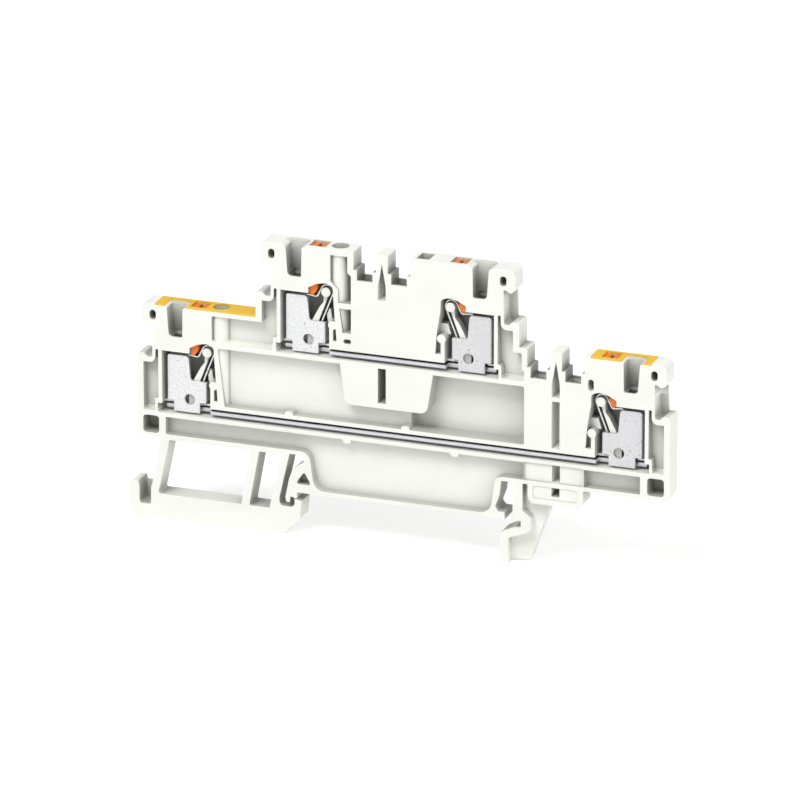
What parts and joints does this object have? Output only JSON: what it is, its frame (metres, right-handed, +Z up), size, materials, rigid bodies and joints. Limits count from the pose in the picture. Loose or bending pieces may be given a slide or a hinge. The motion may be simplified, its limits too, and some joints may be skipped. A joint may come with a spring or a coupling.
{
  "type": "double level terminal block",
  "caption": "Slim two-level feed-through terminal block with spring clamps, push-down releases, internal current bars and spring feet for a top hat rail.",
  "frame": {"origin": "on the rail seat, midway between the two rail grips, at mid thickness", "axes": "+X along the block to the side with the rigid grip, +Y through the thickness from the open face to the closed face, +Z up from the rail"},
  "size_m": [0.0851, 0.0036, 0.0458],
  "materials": {
    "housing": "off-white moulded polyamide, fine matte grain",
    "marking": "yellow moulded strip, satin",
    "pusher": "orange moulded plastic, satin",
    "cage": "folded tinned sheet, dull",
    "spring": "bent spring steel strip",
    "bar": "tinned copper flat bar, stood in for by a bright white metal"
  },
  "bodies": {
    "block": {"housing": "housing", "lower_current_bar": "bar", "upper_current_bar": "bar", "lower_left_cage": "cage", "upper_left_cage": "cage", "upper_right_cage": "cage", "lower_right_cage": "cage", "lower_left_spring": "spring", "upper_left_spring": "spring", "upper_right_spring": "spring", "lower_right_spring": "spring", "left_marking_strip": "marking", "right_marking_strip": "marking"},
    "lower_left_release": {"lower_left_pusher": "pusher"},
    "upper_left_release": {"upper_left_pusher": "pusher"},
    "upper_right_release": {"upper_right_pusher": "pusher"},
    "lower_right_release": {"lower_right_pusher": "pusher"}
  },
  "joints": [
    {"name": "lower_left_press", "type": "slide", "parent": "block", "child": "lower_left_release", "axis": [0, 0, -1], "range_m": [0, 0.0012], "stiffness_N_per_m": 8000, "deforming": ["lower_left_spring"]},
    {"name": "upper_left_press", "type": "slide", "parent": "block", "child": "upper_left_release", "axis": [0, 0, -1], "range_m": [0, 0.0012], "stiffness_N_per_m": 8000, "deforming": ["upper_left_spring"]},
    {"name": "upper_right_press", "type": "slide", "parent": "block", "child": "upper_right_release", "axis": [0, 0, -1], "range_m": [0, 0.0012], "stiffness_N_per_m": 8000, "deforming": ["upper_right_spring"]},
    {"name": "lower_right_press", "type": "slide", "parent": "block", "child": "lower_right_release", "axis": [0, 0, -1], "range_m": [0, 0.0012], "stiffness_N_per_m": 8000, "deforming": ["lower_right_spring"]}
  ]
}
